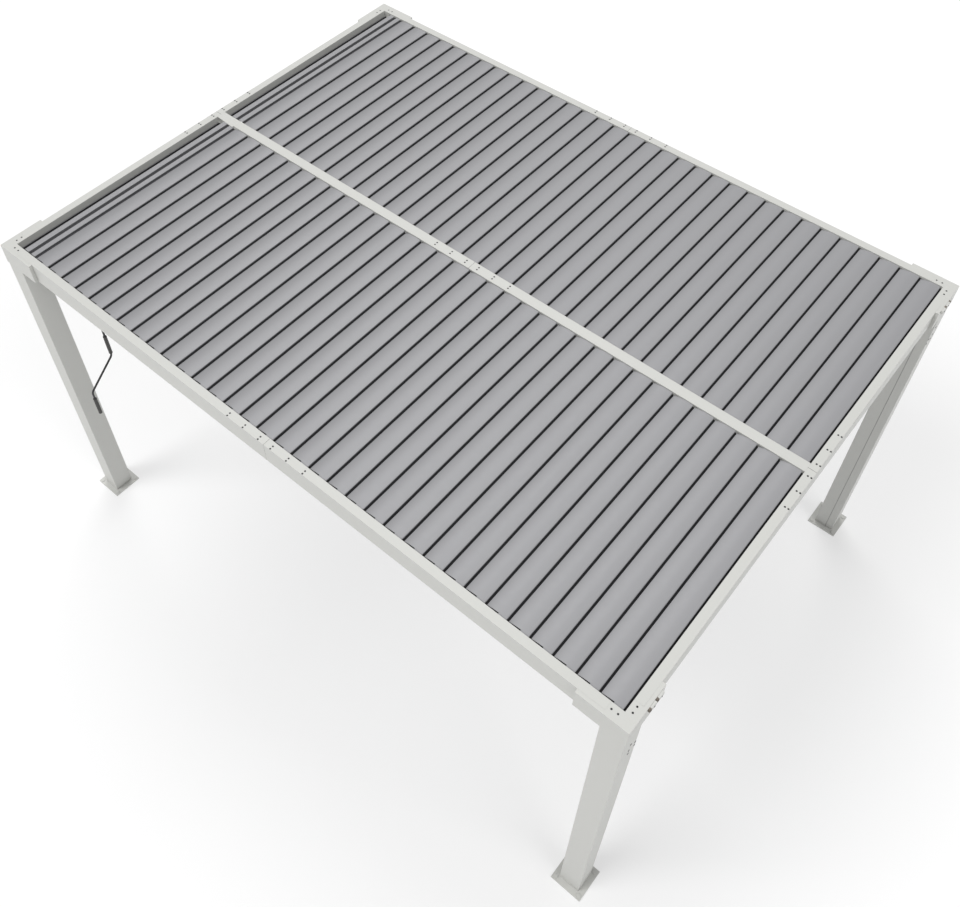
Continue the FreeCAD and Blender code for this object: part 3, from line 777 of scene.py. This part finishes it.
def moulded_finish(name, colour, roughness):
    """Moulded plastic: even, with a faint spark-eroded grain."""
    made = Finish(name, roughness)
    cloud = made.noise(30.0, 2.0)
    darker = tuple(c * 0.95 for c in colour)
    made.feed("Base Color", made.blend(cloud, darker, colour))
    made.feed("Roughness", roughness - 0.04 + cloud * 0.08)
    made.bump(made.noise(1400.0, 1.0), 0.2, 0.0001)
    return made.material


cap_grey = moulded_finish("cap_grey", (0.27, 0.27, 0.28), 0.5)
cap_outline = [
    (-blade_half + cap_inset, blade_base + cap_inset),
    (blade_half - foot_in, blade_base + cap_inset),
    (blade_half - cap_inset, blade_base + foot_up), (blade_half - cap_inset, nose_top),
]
cap_outline += [(u - cap_inset / 2, w - cap_inset) for u, w in nose_line(6)]
cap_outline += [(max(u, cap_inset - blade_half), w - cap_inset) for u, w in crown_line(10)]
cap_shape = drawn_line("cap_shape", [cap_outline])
end_cap = Recipe("end_cap", {"pivot x": 0.0, "long": cap_long})
plug = slab(end_cap, cap_shape, end_cap.size("long"))
plugs = end_cap.joined([
    end_cap.moved(plug, (0.0, start, 0.0))
    for start in (blade_outer + cap_long, blade_inner, -blade_outer, -blade_inner + cap_long)
])
pivot = end_cap.spot(x=end_cap.size("pivot x"), z=pivot_z)
end_cap.finish(end_cap.moved(plugs, pivot), cap_grey)
for number in range(1, louvre_count + 1):
    caps = end_cap.make("end_caps_%02d" % number, pivot_x=pivot_x(number))
    ease(caps, cap_edge, 1)
    fit(caps, "louvre_%02d" % number, cap_grey, "louvre_grey")
bpy.data.objects.remove(cap_shape)

# Seals and painted shade: black rubber along every blade's nose, made darker than rubber, so it is
# partly a real seal and partly painted shade in the gap. At the blade's low side in front is a
# short near-black strip, a painted shadow where the blade meets the front beam. The fillers carry
# the same seal and strip in a greyer tone. A ribbed grey strip in their groove is painted shade,
# and a black strip in their channel is painted shade.
# Near-black, darker than rubber: partly a real seal and partly painted shade in the gaps between
# the blades, and also the colour of the painted front shadows and of the channel's painted shade.
seal_and_shade_black = dull_finish("seal_and_shade_black", (0.005, 0.005, 0.006), (0.012, 0.012, 0.013), 0.7)
# Greyer: the fillers' seal, partly real and partly painted shade, and the painted shade in their
# groove.
seal_and_shade_grey = dull_finish("seal_and_shade_grey", (0.035, 0.035, 0.038), (0.06, 0.06, 0.064), 0.7)
seal_reach = 0.0093
seal_outline = [
    (blade_half - 0.0045, -0.003), (blade_half + 0.006, -0.003), (blade_half + 0.0086, -0.001),
    (blade_half + seal_reach, 0.001), (blade_half + 0.0088, 0.0035),
    (blade_half + 0.0070, 0.0055), (blade_half + 0.0035, 0.0068),
    (blade_half + 0.0005, 0.0078), (blade_half - 0.0045, 0.0080),
]
# Front strip: a short near-black strip on the crown at the blade's low side in front. It is a
# painted shadow where the blade dips below the front beam's edge.
front_shadow_rise, front_shadow_to, front_shadow_deep = 0.0008, 0.012, 0.004
front_shadow_from, front_shadow_long = -1.4350, 0.0062
front_shadow_top = [(u, w + front_shadow_rise) for u, w in crown_line(14) if u < front_shadow_to]
front_shadow_low = lead_top - front_shadow_deep
front_shadow_outline = [(-blade_half, front_shadow_low), (front_shadow_top[0][0], front_shadow_low)] + front_shadow_top
seal_shape = drawn_line("seal_shape", [seal_outline])
gasket_shape = drawn_line("gasket_shape", [front_shadow_outline])
# One recipe draws the nose seals, partly painted shade, and the painted front shadows.
seal_and_shadow = Recipe("blade_seal_and_shadow", {
    "pivot x": 0.0, "inner end": blade_inner, "outer end": blade_outer,
})
bay_long = seal_and_shadow.maths("SUBTRACT", seal_and_shadow.size("outer end"), seal_and_shadow.size("inner end"))
strip = slab(seal_and_shadow, seal_shape, bay_long)
front_shadow = slab(seal_and_shadow, gasket_shape, front_shadow_long)
lengths = seal_and_shadow.joined([
    seal_and_shadow.moved(shape, (0.0, start, 0.0))
    for shape, start in ((strip, blade_outer), (strip, -blade_inner), (front_shadow, front_shadow_from))
])
pivot = seal_and_shadow.spot(x=seal_and_shadow.size("pivot x"), z=pivot_z)
seal_and_shadow.finish(seal_and_shadow.moved(lengths, pivot), seal_and_shade_black)
for number in range(louvre_count + 1):
    strips = seal_and_shadow.make("seals_%02d" % number, pivot_x=pivot_x(number))
    for face in strips.data.polygons:
        face.use_smooth = False
    strip_finish = seal_and_shade_black if number else seal_and_shade_grey
    fit(strips, "louvre_%02d" % number if number else "frame", strip_finish, "dark_plastic")
for holder in (seal_shape, gasket_shape):
    bpy.data.objects.remove(holder)

# The ribbed strip in the fillers' groove and the strip on their channel's floor are dark sheets
# laid where those hollows are in shade: painted shade.
groove_from, groove_to, groove_floor = -1.8600, -1.8370, 2.2760
channel_from, channel_to, channel_floor = -1.9425, -1.9310, 2.2560
ridge_count, ridge_half, ridge_foot, ridge_top = 5, 0.0023, 2.2850, 2.2865
ridges = []
for i in range(ridge_count):
    ridge_x = groove_from + (groove_to - groove_from) * i / ridge_count
    ridges += [(ridge_x, ridge_foot), (ridge_x + ridge_half, ridge_top)]
strip_shape = drawn_line("strip_shape", [
    [(channel_to, channel_floor), (channel_to, channel_floor + 0.003),
     (channel_from, channel_floor + 0.002), (channel_from, channel_floor)],
])
infill_shape = drawn_line("infill_shape", [
    [(groove_to, groove_floor), (groove_to, ridge_foot)] + ridges[::-1]
    + [(groove_from, groove_floor)],
])
for name, shape, strip_finish in (
    ("channel_seal", strip_shape, seal_and_shade_black), ("groove_seal", infill_shape, seal_and_shade_grey),
):
    filler_strip = Recipe(name, {"inner end": blade_inner, "outer end": blade_outer})
    infill = slab(filler_strip, shape, filler_strip.maths(
        "SUBTRACT", filler_strip.size("outer end"), filler_strip.size("inner end"),
    ))
    filler_strip.finish(filler_strip.joined([
        filler_strip.moved(infill, (0.0, start, 0.0)) for start in (blade_outer, -blade_inner)
    ]), strip_finish)
    infills = filler_strip.make(name)
    fit(infills, "frame", strip_finish, "dark_plastic")
    bpy.data.objects.remove(shape)

# Tie bars: flat aluminium bars beside the centre web, with a round pin for every eye.
# Each pin is riveted into the bar, and a clip on its end keeps the eye on it.
pin_from, pin_to, tie_pin = 0.021, 0.0385, 0.003
clip, clip_thick = 0.0046, 0.0008
bar_edge, pin_edge = 0.0005, 0.0003
bars = copy_of("tie_bars", "tie_bar_pair")
work = bmesh.new()
work.from_mesh(bars.data)
bmesh.ops.delete(
    work, geom=[v for v in work.verts if abs(v.co.y) > pin_from + 0.0001], context="VERTS",
)
bmesh.ops.holes_fill(work, edges=[e for e in work.edges if e.is_boundary], sides=0)
bmesh.ops.recalc_face_normals(work, faces=work.faces)
work.to_mesh(bars.data)
work.free()
ease(bars, bar_edge)
fit(bars, "tie_bars", mill_aluminium, "bare_metal", "tie_bars")
tie = Recipe("tie_pin", {"radius": tie_pin, "from": pin_from, "to": pin_to, "clip": clip})
stem = rod_along_y(tie, tie.size("radius"), tie.size("from"), tie.size("to"), 16)
clip_from = tie.maths("SUBTRACT", tie.size("to"), clip_thick)
ring = rod_along_y(tie, tie.size("clip"), clip_from, tie.size("to"), 12)
stem = tie.joined([stem, ring])
tie.finish(tie.step("GeometryNodeInstanceOnPoints", None, {
    "Points": tie.given.outputs[0], "Instance": stem,
    "Rotation": tie.step("GeometryNodeInputNamedAttribute", {"data_type": "FLOAT_VECTOR"}, {
        "Name": "facing",
    }),
}), mill_aluminium)
pin_spots = [
    ((pivot_x(n) + eye_x, 0.0, pivot_z + eye_z), (0.0, 0.0, turn))
    for n in range(1, louvre_count + 1) for turn in (0.0, math.pi)
]
tie_pins = tie.make("tie_pins", spots_mesh(pin_spots))
ease(tie_pins, pin_edge, 1)
fit(tie_pins, "tie_bars", mill_aluminium, "bare_metal")

# Bearing bushes: rings in the beams' slots, one round each end of every pivot pin.
# They are white moulded plastic, and stay with the frame while the pins turn in them.
bush_radius, bush_bore, bush_long = 0.0063, 0.00515, 0.0045
bush_rows = (1.4482, 0.0150, -0.0105, -1.4437)
bush_white = moulded_finish("bush_white", (0.55, 0.55, 0.53), 0.45)
bush_shape = drawn_line("bush_shape", [
    circle_line(0.0, 0.0, bush_radius, 20), circle_line(0.0, 0.0, bush_bore, 20),
])
bush = Recipe("bush", {"long": bush_long})
bush_ring = slab(bush, bush_shape, bush.size("long"))
bush.finish(bush.step("GeometryNodeInstanceOnPoints", None, {
    "Points": bush.given.outputs[0], "Instance": bush_ring,
}), bush_white)
bush_spots = [
    ((pivot_x(n), y, pivot_z), (0.0, 1.0, 0.0))
    for n in range(1, louvre_count + 1) for y in bush_rows
]
bushes = bush.make("bearing_bushes", spots_mesh(bush_spots))
fit(bushes, "frame", bush_white, "dark_plastic")
bpy.data.objects.remove(bush_shape)

# Gearbox: a cast housing, coated dark grey, bolted by its plate under the front beam.
# A round cover closes its back, and the wheel's arm and the drive link are bare aluminium.
wheel_x, wheel_z, box_back = -1.5465, 2.131, -1.304
cover_radius, cover_thick, cover_bore = 0.026, 0.0015, 0.0085
cover_seated, cover_ring, cover_proud = 0.0002, 0.0205, 0.0004
cover_head, cover_head_out = 0.0028, 0.0003
bolt_columns, bolt_rows, plate_under = (-1.590, -1.510), (-1.466, -1.378), 2.164
washer_thick, housing_edge, cover_edge, bolt_edge = 0.0024, 0.0025, 0.0004, 0.0006


def cast_finish():
    """Coated casting: dark grey with a fine grain."""
    made = Finish("cast_grey", 0.5, 0.2)
    grain = made.noise(600.0, 2.0)
    cloud = made.noise(25.0, 3.0)
    made.feed("Base Color", made.blend(cloud, (0.05, 0.05, 0.052), (0.085, 0.085, 0.088)))
    made.feed("Roughness", 0.42 + cloud * 0.15)
    made.bump(grain, 0.35, 0.0003)
    return made.material


cast_grey = cast_finish()
housing = copy_of("gearbox", "gear_housing")
ease(housing, housing_edge, 3)
fit(housing, "frame", cast_grey, "dark_metal", "gearbox")
cover_shape = drawn_line("cover_shape", [
    circle_line(wheel_x, wheel_z, cover_radius, 40), circle_line(wheel_x, wheel_z, cover_bore, 24),
])
cover_plate = Recipe("gear_cover", {"thick": cover_thick})
cover_plate.finish(cover_plate.moved(
    slab(cover_plate, cover_shape, cover_plate.size("thick")),
    (0.0, box_back + cover_thick - cover_seated, 0.0),
), cast_grey)
cover = cover_plate.make("gear_cover")
ease(cover, cover_edge)
fit(cover, "frame", cast_grey, "dark_metal")
bpy.data.objects.remove(cover_shape)
cover_spots = [
    ((wheel_x + cover_ring * math.cos(t), box_back + cover_thick + cover_proud,
      wheel_z + cover_ring * math.sin(t)), (0, 1, 0))
    for t in (math.tau * (i + 0.5) / 6 for i in range(6))
]
cover_screws = screw.make(
    "cover_screws", spots_mesh(cover_spots), head=cover_head, below=-cover_head_out,
)
fit(cover_screws, "frame", screw_black, "dark_metal")
bolt = Recipe("flange_bolt", {"across": 0.0075, "high": 0.0052, "washer": 0.0092})
nut = bolt.cylinder(6, bolt.size("across"), bolt.size("high"))
nut = bolt.moved(nut, bolt.spot(z=bolt.maths("MULTIPLY", bolt.size("high"), 0.5)))
disc = bolt.cylinder(24, bolt.size("washer"), washer_thick)
bolt.finish(on_spots(bolt, bolt.joined([nut, disc])), mill_aluminium)
bolt_spots = [((x, y, plate_under), (0, 0, -1)) for x in bolt_columns for y in bolt_rows]
plate_bolts = bolt.make("plate_bolts", spots_mesh(bolt_spots))
ease(plate_bolts, bolt_edge)
fit(plate_bolts, "frame", mill_aluminium, "bare_metal")
lever = copy_of("gear_lever", "gear_arm")
ease(lever, bar_edge)
fit(lever, "gear_lever", mill_aluminium, "bare_metal", "gear_lever")
link = copy_of("drive_link", "link_bar")
ease(link, bar_edge)
fit(link, "drive_link", mill_aluminium, "bare_metal", "drive_link")

# Crank: a bent steel rod, coated black, in a socket that a set screw holds on the shaft.
# Two sleeves of ringed black plastic turn on the rod as grips.
crank_x, crank_y, crank_top = -1.580, -1.330, 2.103
rod_radius, bend_radius, rod_edge = 0.006, 0.040, 0.0008
rod_into_box = 0.015
throw_from, throw_to, throw, lower_to = 0.552, 0.719, 0.189, 0.913
socket_profile = (
    (0.0055, 0.0005), (0.0095, 0.0005), (0.0110, 0.0020), (0.0110, 0.0090), (0.0100, 0.0105),
    (0.0100, 0.0125), (0.0110, 0.0140), (0.0110, 0.0400), (0.0098, 0.0420), (0.0055, 0.0420),
)
set_screw_head, set_screw_out, set_screw_y, set_screw_down = 0.0034, 0.0006, 0.0108, 0.027
grip_collar = (
    (0.0062, 0.0), (0.0090, 0.0), (0.0106, 0.0015), (0.0110, 0.0040),
    (0.0110, 0.0090), (0.0102, 0.0115),
)
ring_count, ring_margin, ring_radius, ring_swell = 9, 0.016, 0.0104, 0.0005
ring_deep, ring_half, ring_floor_half = 0.0006, 0.003, 0.0008
grip_spans = ((0.0, 0.386, 0.533), (-throw, 0.774, 0.9128))


def rod_finish():
    """Black coat on steel: even, a little glossy, with a fine grain."""
    made = Finish("rod_black", 0.35, 0.3)
    cloud = made.noise(30.0, 3.0)
    made.feed("Base Color", made.blend(cloud, (0.022, 0.022, 0.023), (0.04, 0.04, 0.041)))
    made.feed("Roughness", 0.3 + cloud * 0.12)
    made.bump(made.noise(900.0, 1.0), 0.1, 0.0001)
    return made.material


def grip_finish():
    """Moulded black plastic: duller than the rod, with a fine grain."""
    made = Finish("grip_black", 0.55)
    cloud = made.noise(60.0, 3.0)
    made.feed("Base Color", made.blend(cloud, (0.040, 0.039, 0.037), (0.062, 0.060, 0.057)))
    made.feed("Roughness", 0.48 + cloud * 0.14)
    made.bump(made.noise(1500.0, 2.0), 0.3, 0.0001)
    return made.material


rod_black = rod_finish()
grip_black = grip_finish()
rod_line = bpy.data.curves.new("rod_line", "CURVE")
rod_line.dimensions = "3D"
run = rod_line.splines.new("POLY")
run.points.add(3)
stations = (
    (0.0, rod_into_box), (0.0, -throw_from), (-throw, -throw_to), (-throw, -lower_to),
)
for point, (y, z) in zip(run.points, stations):
    point.co = (crank_x, crank_y + y, crank_top + z, 1.0)
rod_holder = placed("rod_line", rod_line)
bent = Recipe("bent_rod", {"radius": rod_radius, "bend": bend_radius})
spine = bent.step("GeometryNodeObjectInfo", None, {"Object": rod_holder}, "Geometry")
spine = bent.step("GeometryNodeFilletCurve", {"mode": "POLY"}, {
    "Curve": spine, "Radius": bent.size("bend"), "Count": 12,
})
round_bar = bent.step("GeometryNodeCurvePrimitiveCircle", None, {
    "Resolution": 24, "Radius": bent.size("radius"),
})
bent.finish(bent.step("GeometryNodeCurveToMesh", None, {
    "Curve": spine, "Profile Curve": round_bar, "Fill Caps": True,
}), rod_black)
bent_rod = bent.make("crank_rod")
ease(bent_rod, rod_edge)
fit(bent_rod, "crank", rod_black, "crank_steel", "crank")
bpy.data.objects.remove(rod_holder)


def lathed(name, profile, x, y, count=32):
    """A shape turned about an upright axis. A profile point is a radius and a height."""
    verts, faces = [], []
    steps = len(profile)
    for i in range(count):
        turn = math.tau * i / count
        for radius, z in profile:
            verts.append((x + radius * math.cos(turn), y + radius * math.sin(turn), z))
    for i in range(count):
        for k in range(steps):
            a, b = i * steps + k, i * steps + (k + 1) % steps
            c, d = (i + 1) % count * steps + (k + 1) % steps, (i + 1) % count * steps + k
            faces.append((a, b, c, d))
    mesh = bpy.data.meshes.new(name)
    mesh.from_pydata(verts, [], faces)
    work = bmesh.new()
    work.from_mesh(mesh)
    bmesh.ops.recalc_face_normals(work, faces=work.faces)
    work.to_mesh(mesh)
    work.free()
    for face in mesh.polygons:
        face.use_smooth = True
    return placed(name, mesh)


collar = lathed("crank_socket", [
    (radius, crank_top - down) for radius, down in socket_profile
], crank_x, crank_y)
fit(collar, "crank", rod_black, "crank_steel")
socket_spots = [((crank_x, crank_y - set_screw_y, crank_top - set_screw_down), (0, -1, 0))]
set_screw = screw.make(
    "crank_set_screw", spots_mesh(socket_spots), head=set_screw_head, below=-set_screw_out,
)
fit(set_screw, "crank", mill_aluminium, "bare_metal")


def grip_profile(high, low):
    """Half a section of a grip: collars at its ends, shallow rings between them."""
    line = [(radius, high - inward) for radius, inward in grip_collar]
    first, last = high - ring_margin, low + ring_margin
    for i in range(ring_count):
        z = first + (last - first) * i / (ring_count - 1)
        swell = ring_radius + ring_swell * math.sin(math.pi * i / (ring_count - 1))
        line += [(swell, z + ring_half), (swell - ring_deep, z + ring_floor_half)]
        line += [(swell - ring_deep, z - ring_floor_half), (swell, z - ring_half)]
    return line + [(radius, low + inward) for radius, inward in reversed(grip_collar)]


grips = []
for away, high, low in grip_spans:
    grips.append(lathed(
        "crank_sleeves", grip_profile(crank_top - high, crank_top - low), crank_x, crank_y + away,
    ))
sleeves = grips[0]
work = bmesh.new()
for grip in grips:
    work.from_mesh(grip.data)
work.to_mesh(sleeves.data)
work.free()
bpy.data.objects.remove(grips[1])
fit(sleeves, "crank", grip_black, "dark_plastic", "crank_grips")

# Studio: a pale floor under a soft sky that is brightest overhead, with a pale band of haze
# at the horizon, and three wide soft keys from the front left, the back left and the right.
reach = 60.0
floor_dark, floor_light, floor_glow = (0.49, 0.49, 0.49), (0.51, 0.51, 0.51), 0.42
sky_low, sky_rise, haze_glow, haze_top = 0.05, 0.66, 0.85, 0.06
pure_white = (1.0, 1.0, 1.0, 1.0)
keys = (
    ("key_front", (-0.44, -0.80, 1.0), 1.50, 30.0), ("key_back", (-0.46, 0.46, 1.0), 0.90, 30.0),
    ("key_right", (1.0, -0.10, 0.9), 0.75, 35.0),
)
floor_mesh = bpy.data.meshes.new("floor")
floor_mesh.from_pydata(
    [(-reach, -reach, 0), (reach, -reach, 0), (reach, reach, 0), (-reach, reach, 0)],
    [], [(0, 1, 2, 3)],
)
floor = placed("floor", floor_mesh)
floor_finish = Finish("floor_white", 0.9)
floor_tone = floor_finish.noise(0.2, 1.0)
floor_finish.feed("Base Color", floor_finish.blend(floor_tone, floor_dark, floor_light))
for name, value in (
    ("Specular IOR Level", 0.1), ("Emission Color", pure_white), ("Emission Strength", floor_glow),
):
    floor_finish.shader.inputs[name].default_value = value
floor_mesh.materials.append(floor_finish.material)

world = bpy.data.worlds.new("studio")
world.use_nodes = True
sky = Board(world.node_tree)
direction = sky.node("ShaderNodeTexCoord", out="Generated")
upward = sky.node("ShaderNodeSeparateXYZ", None, {"Vector": direction}, "Z")
haze = 1.0 - upward.above(haze_top)
brightness = sky_low + upward * sky_rise + haze * haze_glow
backdrop = world.node_tree.nodes["Background"]
sky.tree.links.new(brightness.socket, backdrop.inputs["Strength"])
backdrop.inputs["Color"].default_value = pure_white
bpy.context.scene.world = world


def soft_key(name, towards, strength, spread):
    """A wide, distant light. Towards is the way from the object to it."""
    data = bpy.data.lights.new(name, "SUN")
    data.energy = strength
    data.angle = math.radians(spread)
    lamp = placed(name, data)
    lamp.rotation_euler = Vector(towards).to_track_quat("Z", "Y").to_euler()


for key in keys:
    soft_key(*key)
